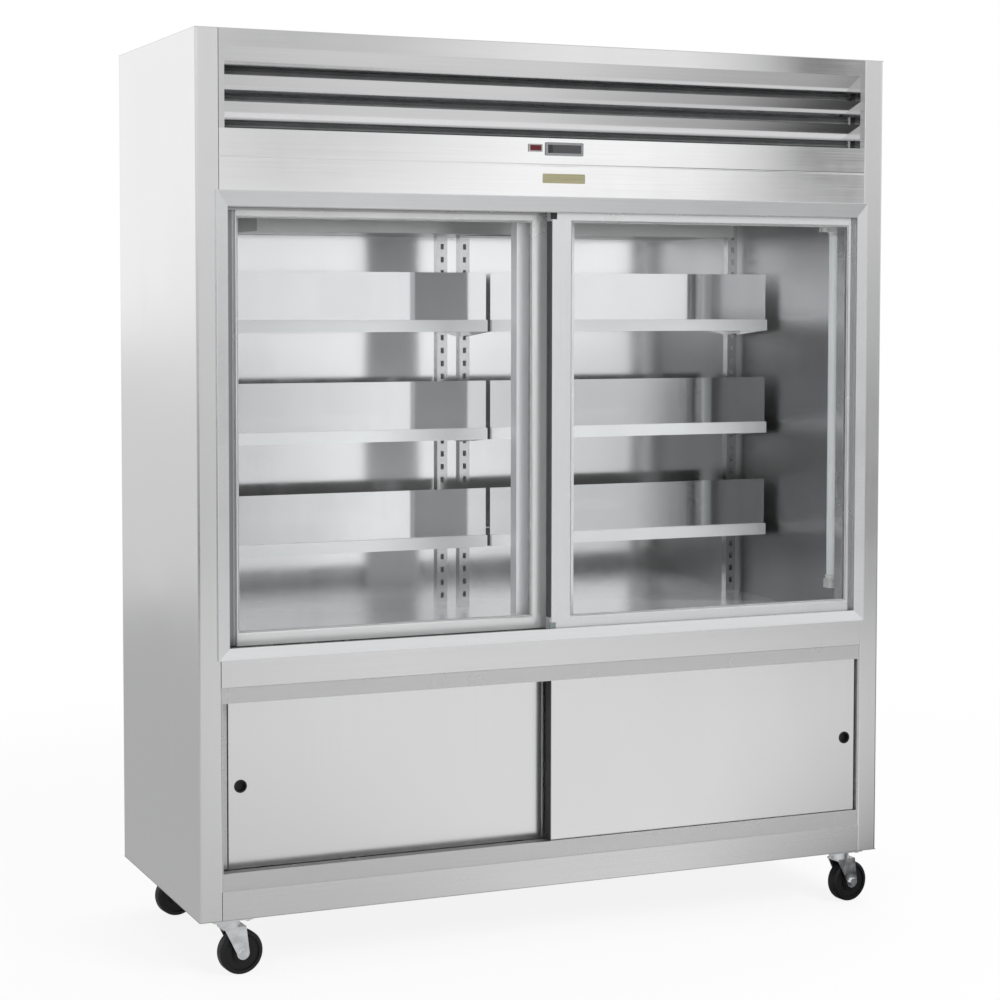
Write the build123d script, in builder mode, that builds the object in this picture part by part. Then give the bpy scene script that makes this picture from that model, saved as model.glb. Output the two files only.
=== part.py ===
from build123d import *
import os
from math import cos, radians, sin

os.makedirs("parts", exist_ok=True)

# Upright refrigerated display cabinet: two glazed doors slide above two solid
# doors, the condensing unit sits behind the louvres on top, and it rolls on
# four swivel casters. Millimetres. +X is the right hand seen from the front,
# -Y faces the user, +Z is up, and the origin is on the floor under the middle.

# Cabinet body
body_width = 1760
body_depth = 680
caster_height = 135
skin = 1.5
liner = 1.2
wall = 57
base_sheet = 2
pillar_width = 53
pillar_bend = 5
sheet_bend = 2.5
rear_flange = 25

# Heights of the bands on the front, from the bottom up
skirt_height = 65
sill_track_height = 40
lower_opening_height = 383
head_track_height = 37
mid_rail_height = 65
upper_opening_height = 1002
header_height = 35
control_height = 135
louvre_height = 218

# Sliding track section, measured back from the front plane
track_setback = 3
fin = 3
leaf_thickness = 28
run_clearance = 5
sill_floor = 18
roller_rib = 5
rib_width = 4
mid_fin_drop = 4
valance_drop = 5.5
head_roof = 22
leaf_lift = 38
leaf_entry = 12
jamb_filler = 25
upper_sill_sink = 20

# Sliding doors
leaf_overlap = 18
edge_clearance = 4
outer_stile = 28
meeting_stile = 51
top_rail = 34
bottom_rail = 29
glass_thickness = 14
glass_bite = 3
glazing_chamfer = 3
grip_rim = 7
grip_width = 16
grip_depth = 12
edge_strip = 3
strip_inset = 3
panel_edge_radius = 2
pull_inset = 29
pull_height = 187
pull_flange_radius = 15
pull_cup_radius = 13
pull_wall = 1.5
pull_depth = 12
pull_proud = 1.5
roller_width = 5
roller_block_length = 40
roller_block_width = 8
roller_block_height = 5
roller_end_distance = 90
running_gap = 0.3

# Door surround
surround_overlap = 8
surround_side = 27
surround_foot = 26.5
surround_drop = 5
surround_proud = 6
surround_inner_proud = 1
surround_land = 2

# Control panel and what it carries
crease_height = 73
crease_half = 3
crease_depth = 2.5
panel_return = 25
display_width = 97
display_height = 31
display_x = 6.5
display_up = 110.5
bezel_proud = 3
bezel_rim = 3
display_body_depth = 28
window_margin = 6
window_recess = 0.8
switch_width = 35
switch_height = 18
switch_x = -67.5
switch_up = 112
switch_body_depth = 22
rocker_width = 27
rocker_height = 12
rocker_depth = 10
rocker_side_gap = 0.8
rocker_end_gap = 0.3
rocker_throw = 14
rocker_pin_radius = 1
rocker_pin_gap = 0.05
rocker_pin_length = 1.2
plate_width = 108
plate_height = 22
plate_thickness = 1.6
plate_x = 6
plate_up = 42
plate_corner = 2

# Louvres
louvre_gap = 20
louvre_pitch = 58
louvre_rake = 27
louvre_hem = 9
louvre_flange = 28
louvre_end_gap = 13
bracket_depth = 46
louvre_blades = 3

# Display shelves
bay_side_gap = 23
bay_centre_gap = 12
shelf_front = 433
shelf_lip_depth = 12
shelf_lip_height = 29
shelf_fence = 119
shelf_top = 747
shelf_pitch = 271.5
shelf_rear_gap = 3
shelf_count = 3
deck_slots = 12
deck_slot_width = 8
deck_slot_length = 90
bracket_thickness = 2
bracket_drop = 45

# Shelf standards
standard_width = 28
standard_depth = 12
standard_slot_width = 9
standard_slot_height = 14
standard_slots = 30
standard_top_gap = 5
corner_standard_inset = 30
centre_standard_x = 5
extra_standard_x = -57
post_width = 150
post_depth = 34
post_gap = 4

# Lamps
lamp_radius = 13
lamp_inset = 17
lamp_back = 20
lamp_bottom = 92
lamp_top = 970
holder_width = 58
holder_depth = 36
socket_height = 22
socket_width = 34

# Evaporator
cover_width = 1280
cover_height = 80
cover_rear_gap = 11
cover_depth = 270
cover_sheet = 1.2
coil_width = 1080
coil_depth = 90
coil_height = 62
coil_fin = 0.8
coil_fins = 28
coil_tube_radius = 5
evaporator_fan_radius = 62
fan_clearance = 6
fan_blades = 5
fan_blade_pitch = 0.5
fan_blade_thickness = 2
fan_hub_radius = 16

# Condensing unit
compressor_x = 330
compressor_radius = 92
compressor_height = 175
compressor_back = 400
condenser_width = 400
condenser_height = 200
condenser_depth = 55
condenser_x = -170
condenser_front = 130
condenser_fins = 34
condenser_fan_radius = 88
shroud_depth = 70
shroud_sheet = 2
motor_radius = 34
motor_length = 60
vent_slots = 9
vent_slot_length = 160
vent_slot_width = 8
vent_slot_pitch = 17

# Casters
caster_side_inset = 80
caster_front_inset = 45
caster_rear_inset = 95
wheel_diameter = 102
wheel_width = 32
hub_radius = 20
hub_width = 38
axle_radius = 6
axle_clearance = 0.08
axle_head_radius = 10
axle_head = 5
fork_plate = 3
fork_side_gap = 1
fork_top_gap = 6
fork_crown = 4
fork_leg_width = 30
swivel_offset = 26
swivel_radius = 25
crown_half_length = 21
race_gap = 0.3
king_pin_clearance = 0.08
king_pin_radius = 8
caster_plate_width = 95
caster_plate_depth = 70
caster_plate = 5
plate_hole_radius = 4.5
plate_hole_x = 74
plate_hole_y = 48
tyre_round = 7

# Derived places. The door surround stands in front of the body, and the
# origin is under the middle of the two together.
front_y = (surround_proud - body_depth) / 2
back_y = front_y + body_depth
body_y = (front_y + back_y) / 2
half_width = body_width / 2
base_z = caster_height
skirt_top = base_z + skirt_height
lower_sill_top = skirt_top + sill_track_height
lower_head = lower_sill_top + lower_opening_height
mid_rail_bottom = lower_head + head_track_height
mid_rail_top = mid_rail_bottom + mid_rail_height
header_bottom = mid_rail_top + upper_opening_height
header_top = header_bottom + header_height
control_top = header_top + control_height
top_z = control_top + louvre_height
under_lid = top_z - skin

pillar_x = half_width - pillar_width
liner_x = half_width - wall
liner_back_y = back_y - wall
rear_sheet_y = back_y - 2 * skin
upper_sill_seat = mid_rail_top - upper_sill_sink
display_floor_z = upper_sill_seat + sill_floor
storage_floor_z = skirt_top + sill_floor
ceiling_z = header_top
unit_deck_z = ceiling_z + wall
storage_height = upper_sill_seat - mid_rail_bottom

front_leaf = track_setback + fin + run_clearance
mid_fin = front_leaf + leaf_thickness + run_clearance
rear_leaf = mid_fin + fin + run_clearance
rear_fin = rear_leaf + leaf_thickness + run_clearance
track_back = rear_fin + fin
rear_jamb_x = pillar_x - jamb_filler

front_leaf_span = (-leaf_overlap, pillar_x - fin - edge_clearance)
rear_leaf_span = (-(rear_jamb_x - edge_clearance), 0)
upper_leaf_z = (upper_sill_seat + leaf_lift, header_bottom + leaf_entry)
lower_leaf_z = (skirt_top + leaf_lift, lower_head + leaf_entry)


def at_depth(depth):
    """A plane facing the user, this far behind the front of the cabinet."""
    return Plane.XZ.offset(-(front_y + depth))


def span_centre(span):
    return (span[0] + span[1]) / 2


def span_length(span):
    return span[1] - span[0]


def save(part, name):
    part.label = name
    export_step(part, "parts/" + name + ".step")


# Side panels. Each is one sheet folded round the front pillar and into the
# door jamb, with a narrow flange at the rear.
def side_panel(side):
    outer_x = side * (half_width - skin / 2)
    jamb_x = side * (pillar_x + skin / 2)
    corner_z = base_z + base_sheet
    with BuildPart() as panel:
        with BuildSketch(Plane.XY.offset(corner_z)):
            with BuildLine():
                FilletPolyline(
                    (outer_x - side * rear_flange, back_y - skin / 2),
                    (outer_x, back_y - skin / 2),
                    (outer_x, front_y + skin / 2),
                    (jamb_x, front_y + skin / 2),
                    (jamb_x, front_y + track_back),
                    radius=(sheet_bend, pillar_bend, sheet_bend),
                )
            trace(line_width=skin)
        extrude(amount=under_lid - corner_z)
    return panel.part


save(side_panel(-1), "side_panel_left")
save(side_panel(1), "side_panel_right")


# Back panel, with two banks of vent slots for the condensing unit.
back_width = body_width - 2 * (skin + sheet_bend)
back_height = under_lid - base_z - base_sheet
vent_z = (unit_deck_z + under_lid) / 2
with BuildPart() as back_panel:
    with BuildSketch(at_depth(body_depth - 2 * skin)):
        with Locations((0, base_z + base_sheet + back_height / 2)):
            Rectangle(back_width, back_height)
        with Locations((-body_width / 4, vent_z), (body_width / 4, vent_z)):
            with GridLocations(0, vent_slot_pitch, 1, vent_slots):
                SlotOverall(vent_slot_length, vent_slot_width, mode=Mode.SUBTRACT)
    extrude(amount=-skin)
save(back_panel.part, "back_panel")


# Top panel, a flat lid with flanges down inside the sides and the back.
lid_flange = 18
with BuildPart() as top_panel:
    with BuildSketch(Plane.XY.offset(under_lid)):
        with Locations((0, body_y)):
            Rectangle(body_width, body_depth)
    extrude(amount=skin)
    with BuildSketch(Plane.XY.offset(under_lid)):
        for side in (-1, 1):
            with Locations((side * (half_width - 1.5 * skin), body_y)):
                Rectangle(skin, body_depth - 2 * track_back)
        with Locations((0, rear_sheet_y - skin / 2)):
            Rectangle(body_width - 2 * track_back, skin)
    extrude(amount=-lid_flange)
save(top_panel.part, "top_panel")


# Base pan, the plate that the panels stand on and the casters bolt under.
with BuildPart() as base_pan:
    with BuildSketch(Plane.XY.offset(base_z)):
        with Locations((0, body_y)):
            Rectangle(body_width, body_depth)
        for side in (-1, 1):
            for inset_y in (front_y + caster_front_inset, back_y - caster_rear_inset):
                with Locations((side * (half_width - caster_side_inset), inset_y)):
                    with GridLocations(plate_hole_x, plate_hole_y, 2, 2):
                        Circle(plate_hole_radius, mode=Mode.SUBTRACT)
    extrude(amount=base_sheet)
save(base_pan.part, "base_pan")


# Foam insulation, one slab in each wall, sealed between skin and liner.
foam_inner_x = liner_x + liner
foam_outer_x = half_width - skin
foam_back_y = liner_back_y + liner
foam_base_z = base_z + base_sheet
with BuildPart() as foam_insulation:
    for side in (-1, 1):
        with BuildSketch(Plane.XY.offset(foam_base_z)):
            with BuildLine():
                FilletPolyline(
                    (side * foam_inner_x, rear_sheet_y),
                    (side * foam_outer_x, rear_sheet_y),
                    (side * foam_outer_x, front_y + skin),
                    (side * (pillar_x + skin), front_y + skin),
                    (side * (pillar_x + skin), front_y + track_back + liner),
                    radius=(sheet_bend, pillar_bend, sheet_bend),
                )
                Polyline(
                    (side * (pillar_x + skin), front_y + track_back + liner),
                    (side * foam_inner_x, front_y + track_back + liner),
                    (side * foam_inner_x, rear_sheet_y),
                )
            make_face()
        extrude(amount=unit_deck_z - foam_base_z)
    with BuildSketch(Plane.XY.offset(foam_base_z)):
        with Locations((0, (foam_back_y + rear_sheet_y) / 2)):
            Rectangle(2 * foam_inner_x, rear_sheet_y - foam_back_y)
    extrude(amount=unit_deck_z - foam_base_z)
    for low, high in (
        (foam_base_z, storage_floor_z - liner),
        (ceiling_z + liner, unit_deck_z),
    ):
        with BuildSketch(Plane.XY.offset(low)):
            with Locations((0, (front_y + track_back + foam_back_y) / 2)):
                Rectangle(2 * foam_inner_x, foam_back_y - front_y - track_back)
        extrude(amount=high - low)
save(foam_insulation.part, "foam_insulation")


# Inner liner: two side sheets, one sheet folded from the back into the
# ceiling, and the two floors.
def side_liner(side):
    sheet_x = side * (liner_x + liner / 2)
    sheet_y = front_y + track_back + liner / 2
    low = storage_floor_z - liner
    with BuildPart() as sheet:
        with BuildSketch(Plane.XY.offset(low)):
            with BuildLine():
                Polyline(
                    (side * (pillar_x + skin), sheet_y),
                    (sheet_x, sheet_y),
                    (sheet_x, foam_back_y),
                )
            trace(line_width=liner)
        extrude(amount=ceiling_z + liner - low)
    return sheet.part


save(side_liner(-1), "liner_left")
save(side_liner(1), "liner_right")

with BuildPart() as liner_back:
    with BuildSketch(Plane.YZ.offset(-liner_x)):
        with BuildLine():
            FilletPolyline(
                (liner_back_y + liner / 2, storage_floor_z - liner),
                (liner_back_y + liner / 2, ceiling_z + liner / 2),
                (front_y + track_back, ceiling_z + liner / 2),
                radius=sheet_bend,
            )
        trace(line_width=liner)
    extrude(amount=2 * liner_x)
save(liner_back.part, "liner_back")

inside_depth = liner_back_y - front_y - track_back
inside_y = (liner_back_y + front_y + track_back) / 2
with BuildPart() as storage_floor:
    with BuildSketch(Plane.XY.offset(storage_floor_z - liner)):
        with Locations((0, inside_y)):
            Rectangle(2 * liner_x, inside_depth)
    extrude(amount=liner)
save(storage_floor.part, "storage_floor")

# Display floor, a pan whose turned-down edges rest against the liner.
floor_flange = 38
with BuildPart() as display_floor:
    with BuildSketch(Plane.XY.offset(display_floor_z - floor_flange)):
        with Locations((0, inside_y)):
            Rectangle(2 * liner_x, inside_depth)
    extrude(amount=floor_flange)
    offset(amount=-liner, openings=display_floor.faces().sort_by(Axis.Z)[0])
save(display_floor.part, "display_floor")


# Mid rail, a box beam behind the bright band, with an upstand in front of
# the sill track that it carries.
with BuildPart() as mid_rail:
    with BuildSketch(Plane.YZ.offset(-pillar_x)):
        with Locations((front_y + track_back / 2, mid_rail_bottom + storage_height / 2)):
            Rectangle(track_back, storage_height)
            Rectangle(track_back - 2 * skin, storage_height - 2 * skin, mode=Mode.SUBTRACT)
        with Locations((front_y + skin / 2, (mid_rail_bottom + mid_rail_top) / 2)):
            Rectangle(skin, mid_rail_height)
    extrude(amount=2 * pillar_x)
save(mid_rail.part, "mid_rail")

# Toe skirt, folded back over the top as the seat of the lower sill track.
with BuildPart() as toe_skirt:
    with BuildSketch(Plane.YZ.offset(-pillar_x)):
        with BuildLine():
            Polyline(
                (front_y + skin / 2, base_z + base_sheet),
                (front_y + skin / 2, skirt_top - skin / 2),
                (front_y + track_back - skin / 2, skirt_top - skin / 2),
                (front_y + track_back - skin / 2, base_z + base_sheet),
            )
        trace(line_width=skin)
    extrude(amount=2 * pillar_x)
save(toe_skirt.part, "toe_skirt")


# Door tracks. A track is a web strip with three fins standing on it. The sill
# also has a rib under each leaf's rollers, and the head is the same comb upside
# down without ribs. The middle fin stands between the jambs, which step in
# behind the front leaf.
def track_strip(half_x, start, width, low, high):
    with BuildPart() as strip:
        with BuildSketch(Plane.YZ.offset(-half_x)):
            with Locations((front_y + start + width / 2, (low + high) / 2)):
                Rectangle(width, abs(high - low))
        extrude(amount=2 * half_x)
    return strip.part


def track_strips(seat_z, up, height, mid_height, web, rib):
    web_z = seat_z + up * web
    fin_z = seat_z + up * height
    mid_z = seat_z + up * mid_height
    strips = [
        track_strip(pillar_x, track_setback, track_back - track_setback, seat_z, web_z),
        track_strip(pillar_x, track_setback, fin, web_z, fin_z),
        track_strip(pillar_x - fin, mid_fin, fin, web_z, mid_z),
        track_strip(pillar_x, rear_fin, fin, web_z, fin_z),
    ]
    if rib:
        for leaf_start in (front_leaf, rear_leaf):
            rib_start = leaf_start + (leaf_thickness - rib_width) / 2
            strips.append(track_strip(pillar_x, rib_start, rib_width, web_z, web_z + up * rib))
    return strips


def jamb_bar(side, low, high):
    plate_length = track_back - track_setback
    filler_length = track_back - mid_fin - fin
    with BuildPart() as bar:
        with BuildSketch(Plane.XY.offset(low)):
            with Locations((side * (pillar_x - fin / 2), front_y + track_setback + plate_length / 2)):
                Rectangle(fin, plate_length)
            with Locations((side * (pillar_x - jamb_filler / 2), front_y + track_back - filler_length / 2)):
                Rectangle(jamb_filler, filler_length)
                Rectangle(jamb_filler - 2 * fin, filler_length - 2 * fin, mode=Mode.SUBTRACT)
        extrude(amount=high - low)
    return bar.part


def track_frame(sill_seat, head_low, mid_drop):
    head_seat = head_low + head_track_height
    sill_mid = sill_track_height - mid_fin_drop
    bars = track_strips(sill_seat, 1, sill_track_height, sill_mid, sill_floor, roller_rib)
    bars += track_strips(head_seat, -1, head_track_height, head_track_height + mid_drop, head_roof, 0)
    for side in (-1, 1):
        bars.append(jamb_bar(side, sill_seat + sill_track_height, head_low))
    return Compound(children=bars)


upper_head = header_top - head_track_height
save(track_frame(upper_sill_seat, upper_head, valance_drop), "upper_track_frame")
save(track_frame(skirt_top, lower_head, -mid_fin_drop), "lower_track_frame")


# Door surround, a picture frame whose face slopes in towards the glass.
surround_x = pillar_x + surround_overlap
surround_z = (mid_rail_top - surround_drop, header_top)
opening_x = surround_x - surround_side
opening_z = (surround_z[0] + surround_foot, header_bottom)


def frame_rectangle(half_x, span):
    with Locations((0, span_centre(span))):
        Rectangle(2 * half_x, span_length(span))


with BuildPart() as door_surround:
    with BuildSketch(at_depth(-surround_proud)):
        frame_rectangle(surround_x, surround_z)
    extrude(amount=-surround_proud)
    with BuildSketch(at_depth(0)):
        frame_rectangle(pillar_x, (mid_rail_top, header_top))
    extrude(amount=-track_setback)
    with BuildSketch(at_depth(-surround_proud)):
        frame_rectangle(
            surround_x - surround_land,
            (surround_z[0] + surround_land, surround_z[1] - surround_land),
        )
    with BuildSketch(at_depth(-surround_inner_proud)):
        frame_rectangle(opening_x, opening_z)
    loft(mode=Mode.SUBTRACT)
    with BuildSketch(at_depth(-surround_proud)):
        frame_rectangle(opening_x, opening_z)
    extrude(amount=-(surround_proud + track_setback), mode=Mode.SUBTRACT)
save(door_surround.part, "door_surround")


# Control panel, with a pressed crease and cut-outs for display and switch.
crease_z = header_top + crease_height
display_z = header_top + display_up
switch_z = header_top + switch_up
plate_z = header_top + plate_up
with BuildPart() as control_panel:
    with BuildSketch(Plane.YZ.offset(-pillar_x)):
        with BuildLine():
            Polyline(
                (front_y + track_back, header_top + skin / 2),
                (front_y + skin / 2, header_top + skin / 2),
                (front_y + skin / 2, crease_z - crease_half),
                (front_y + skin / 2 + crease_depth, crease_z),
                (front_y + skin / 2, crease_z + crease_half),
                (front_y + skin / 2, control_top - skin / 2),
                (front_y + panel_return, control_top - skin / 2),
            )
        trace(line_width=skin)
    extrude(amount=2 * pillar_x)
    with BuildSketch(at_depth(0)):
        with Locations((display_x, display_z)):
            Rectangle(display_width - 2 * bezel_rim, display_height - 2 * bezel_rim)
        with Locations((switch_x, switch_z)):
            Rectangle(switch_width - bezel_rim, switch_height - bezel_rim)
    extrude(amount=-panel_return / 2, mode=Mode.SUBTRACT)
save(control_panel.part, "control_panel")

# Temperature display: a bezel on the panel, a recessed window, a body behind.
with BuildPart() as temperature_display:
    with BuildSketch(at_depth(0)):
        with Locations((display_x, display_z)):
            RectangleRounded(display_width, display_height, bezel_rim)
    extrude(amount=bezel_proud)
    with BuildSketch(at_depth(0)):
        with Locations((display_x, display_z)):
            Rectangle(display_width - 2 * bezel_rim, display_height - 2 * bezel_rim)
    extrude(amount=-display_body_depth)
    with BuildSketch(at_depth(-bezel_proud)):
        with Locations((display_x, display_z)):
            Rectangle(display_width - 2 * window_margin, display_height - 2 * window_margin)
    extrude(amount=-window_recess, mode=Mode.SUBTRACT)
save(temperature_display.part, "temperature_display")

# Rocker switch: an open housing, and the rocker on two pins along Z. The
# rocker rests tipped to its left and tips over by the whole throw.
rocker_pivot = Vector(switch_x, front_y - bezel_proud + rocker_depth / 2, switch_z)
well_width = rocker_width + 2 * rocker_side_gap
well_height = rocker_height + 2 * rocker_end_gap
with BuildPart() as switch_housing:
    with BuildSketch(at_depth(0)):
        with Locations((switch_x, switch_z)):
            RectangleRounded(switch_width, switch_height, bezel_rim / 2)
    extrude(amount=bezel_proud)
    with BuildSketch(at_depth(0)):
        with Locations((switch_x, switch_z)):
            Rectangle(switch_width - bezel_rim, switch_height - bezel_rim)
    extrude(amount=-switch_body_depth)
    with BuildSketch(at_depth(-bezel_proud)):
        with Locations((switch_x, switch_z)):
            Rectangle(well_width, well_height)
    extrude(amount=-(bezel_proud + rocker_depth + 2), mode=Mode.SUBTRACT)
    with BuildSketch(Plane.XY.offset(switch_z - well_height / 2 - rocker_pin_length)):
        with Locations((rocker_pivot.X, rocker_pivot.Y)):
            Circle(rocker_pin_radius + rocker_pin_gap)
    extrude(amount=well_height + 2 * rocker_pin_length, mode=Mode.SUBTRACT)
save(switch_housing.part, "switch_housing")

tip = radians(rocker_throw / 2)
rocker_plane = Plane(
    origin=(rocker_pivot.X, rocker_pivot.Y, switch_z - rocker_height / 2),
    x_dir=(cos(tip), -sin(tip), 0),
    z_dir=(0, 0, 1),
)
with BuildPart() as switch_rocker:
    with BuildSketch(rocker_plane):
        with BuildLine():
            Polyline(
                (rocker_width / 2, -rocker_depth / 2),
                (rocker_width / 2, rocker_depth / 4),
                (rocker_width / 4, rocker_depth / 2),
                (-rocker_width / 4, rocker_depth / 2),
                (-rocker_width / 2, rocker_depth / 4),
                (-rocker_width / 2, -rocker_depth / 2),
            )
            ThreePointArc(
                (-rocker_width / 2, -rocker_depth / 2),
                (0, -rocker_depth / 2 + 1.5),
                (rocker_width / 2, -rocker_depth / 2),
            )
        make_face()
    extrude(amount=rocker_height)
    with BuildSketch(rocker_plane.offset(-rocker_pin_length)):
        Circle(rocker_pin_radius)
    extrude(amount=rocker_height + 2 * rocker_pin_length)
save(switch_rocker.part, "switch_rocker")

# Bare plate on the control panel.
with BuildPart() as nameplate:
    with BuildSketch(at_depth(0)):
        with Locations((plate_x, plate_z)):
            RectangleRounded(plate_width, plate_height, plate_corner)
    extrude(amount=plate_thickness)
save(nameplate.part, "nameplate")


# Louvre panel: raked blades welded between two end brackets.
blade_x = pillar_x - louvre_end_gap
blade_face = louvre_pitch - louvre_gap
with BuildPart() as louvre_panel:
    for blade in range(louvre_blades):
        low = control_top + louvre_gap + blade * louvre_pitch
        tail = [
            (front_y + louvre_rake, low + skin / 2),
            (front_y + louvre_rake + louvre_hem, low + skin / 2),
        ]
        if blade == louvre_blades - 1:
            fold_z = low + blade_face + louvre_hem / 2
            head = [
                (front_y + louvre_flange, under_lid - skin / 2),
                (front_y + skin / 2, under_lid - skin / 2),
                (front_y + skin / 2, fold_z),
            ]
        else:
            fold_z = low + blade_face - skin / 2
            head = [
                (front_y + louvre_hem, fold_z),
                (front_y + skin / 2, fold_z),
            ]
        with BuildSketch(Plane.YZ.offset(-blade_x)):
            with BuildLine():
                Polyline(*head, *tail)
            trace(line_width=skin)
        extrude(amount=2 * blade_x)
    for side in (-1, 1):
        with BuildSketch(Plane.XY.offset(control_top)):
            with BuildLine():
                Polyline(
                    (side * (blade_x + skin / 2), front_y + bracket_depth),
                    (side * (blade_x + skin / 2), front_y + skin / 2),
                    (side * pillar_x, front_y + skin / 2),
                )
            trace(line_width=skin)
        extrude(amount=under_lid - control_top)
save(louvre_panel.part, "louvre_panel")


# Glazed sliding doors: two full-height stiles with two rails between them,
# all grooved for the pane. The outer stile is a base bar faced with two
# strips, and the channel left between the strips is the finger grip.
def opening_of(span, grip_side):
    if grip_side < 0:
        return (span[0] + outer_stile, span[1] - meeting_stile)
    return (span[0] + meeting_stile, span[1] - outer_stile)


pane_z = (upper_leaf_z[0] + bottom_rail, upper_leaf_z[1] - top_rail)


def rectangle_on(span_x, span_z, grow=0):
    with Locations((span_centre(span_x), span_centre(span_z))):
        Rectangle(span_length(span_x) + 2 * grow, span_length(span_z) + 2 * grow)


def glazed_frame(span, depth, grip_side):
    pane_x = opening_of(span, grip_side)
    stile_x = [(span[0], pane_x[0]), (pane_x[1], span[1])]
    if grip_side < 0:
        grip_x = (span[0] + grip_rim, span[0] + grip_rim + grip_width)
        grip_stile, inner_stile = stile_x
    else:
        grip_x = (span[1] - grip_rim - grip_width, span[1] - grip_rim)
        inner_stile, grip_stile = stile_x
    bars = []
    for bar_x, bar_z, front, back in (
        (grip_stile, upper_leaf_z, grip_depth, leaf_thickness),
        ((grip_stile[0], grip_x[0]), upper_leaf_z, 0, grip_depth),
        ((grip_x[1], grip_stile[1]), upper_leaf_z, 0, grip_depth),
        (inner_stile, upper_leaf_z, 0, leaf_thickness),
        (pane_x, (upper_leaf_z[0], pane_z[0]), 0, leaf_thickness),
        (pane_x, (pane_z[1], upper_leaf_z[1]), 0, leaf_thickness),
    ):
        with BuildPart() as bar:
            with BuildSketch(at_depth(depth + front)):
                rectangle_on(bar_x, bar_z)
            extrude(amount=front - back)
            with BuildSketch(at_depth(depth)):
                rectangle_on(pane_x, pane_z, glazing_chamfer)
            extrude(amount=-glazing_chamfer, taper=45, mode=Mode.SUBTRACT)
            with BuildSketch(at_depth(depth + (leaf_thickness - glass_thickness) / 2)):
                rectangle_on(pane_x, pane_z, glass_bite)
            extrude(amount=-glass_thickness, mode=Mode.SUBTRACT)
        bars.append(bar.part)
    return Compound(children=bars)


def glass_pane(span, depth, grip_side):
    with BuildPart() as pane:
        with BuildSketch(at_depth(depth + (leaf_thickness - glass_thickness) / 2)):
            rectangle_on(opening_of(span, grip_side), pane_z, glass_bite)
        extrude(amount=-glass_thickness)
    return pane.part


# Black running gear of a leaf: a seal strip down the meeting edge and two
# roller carriages under the bottom rail.
def running_gear(span, depth, span_z, meeting_side):
    roller_radius = (leaf_lift - sill_floor - roller_rib - running_gap) / 2
    roller_y = front_y + depth + leaf_thickness / 2
    roller_z = span_z[0] - roller_radius
    if meeting_side < 0:
        strip_x = (span[0] - edge_strip, span[0])
    else:
        strip_x = (span[1], span[1] + edge_strip)
    with BuildPart() as gear:
        with BuildSketch(at_depth(depth + strip_inset)):
            rectangle_on(strip_x, span_z)
        extrude(amount=-(leaf_thickness - 2 * strip_inset))
        for x in (span[0] + roller_end_distance, span[1] - roller_end_distance):
            with BuildSketch(Plane.XY.offset(span_z[0] - roller_block_height)):
                with Locations((x, roller_y)):
                    Rectangle(roller_block_length, roller_block_width)
            extrude(amount=roller_block_height)
            with BuildSketch(Plane.XZ.offset(-(roller_y - roller_width / 2))):
                with Locations((x, roller_z)):
                    Circle(roller_radius)
            extrude(amount=-roller_width)
    return gear.part


for side_name, span, depth, grip_side in (
    ("left", rear_leaf_span, rear_leaf, -1),
    ("right", front_leaf_span, front_leaf, 1),
):
    save(glazed_frame(span, depth, grip_side), "upper_door_" + side_name + "_frame")
    save(glass_pane(span, depth, grip_side), "upper_door_" + side_name + "_glass")
    save(running_gear(span, depth, upper_leaf_z, -grip_side), "upper_door_" + side_name + "_gear")


# Solid sliding doors, each with a round cup pull let into its panel.
def pull_place(span, outer_side):
    if outer_side < 0:
        return (span[0] + pull_inset, lower_leaf_z[0] + pull_height)
    return (span[1] - pull_inset, lower_leaf_z[0] + pull_height)


def solid_panel(span, depth, outer_side):
    with BuildPart() as panel:
        with BuildSketch(at_depth(depth)):
            rectangle_on(span, lower_leaf_z)
        extrude(amount=-leaf_thickness)
        fillet(panel.edges().filter_by(Axis.Z), radius=panel_edge_radius)
        with BuildSketch(at_depth(depth)):
            with Locations(pull_place(span, outer_side)):
                Circle(pull_cup_radius)
        extrude(amount=-pull_depth, mode=Mode.SUBTRACT)
    return panel.part


def cup_pull(span, depth, outer_side):
    place = pull_place(span, outer_side)
    with BuildPart() as pull:
        with BuildSketch(at_depth(depth)):
            with Locations(place):
                Circle(pull_flange_radius)
        extrude(amount=pull_proud)
        fillet(pull.edges().sort_by(Axis.Y)[0], radius=pull_proud / 2)
        with BuildSketch(at_depth(depth)):
            with Locations(place):
                Circle(pull_cup_radius)
        extrude(amount=-pull_depth)
        with BuildSketch(at_depth(depth - pull_proud)):
            with Locations(place):
                Circle(pull_cup_radius - pull_wall)
        extrude(amount=-(pull_proud + pull_depth - pull_wall), mode=Mode.SUBTRACT)
    return pull.part


for side_name, span, depth, outer_side in (
    ("left", rear_leaf_span, rear_leaf, -1),
    ("right", front_leaf_span, front_leaf, 1),
):
    save(solid_panel(span, depth, outer_side), "lower_door_" + side_name + "_panel")
    save(cup_pull(span, depth, outer_side), "lower_door_" + side_name + "_pull")
    save(running_gear(span, depth, lower_leaf_z, -outer_side), "lower_door_" + side_name + "_gear")


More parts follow.
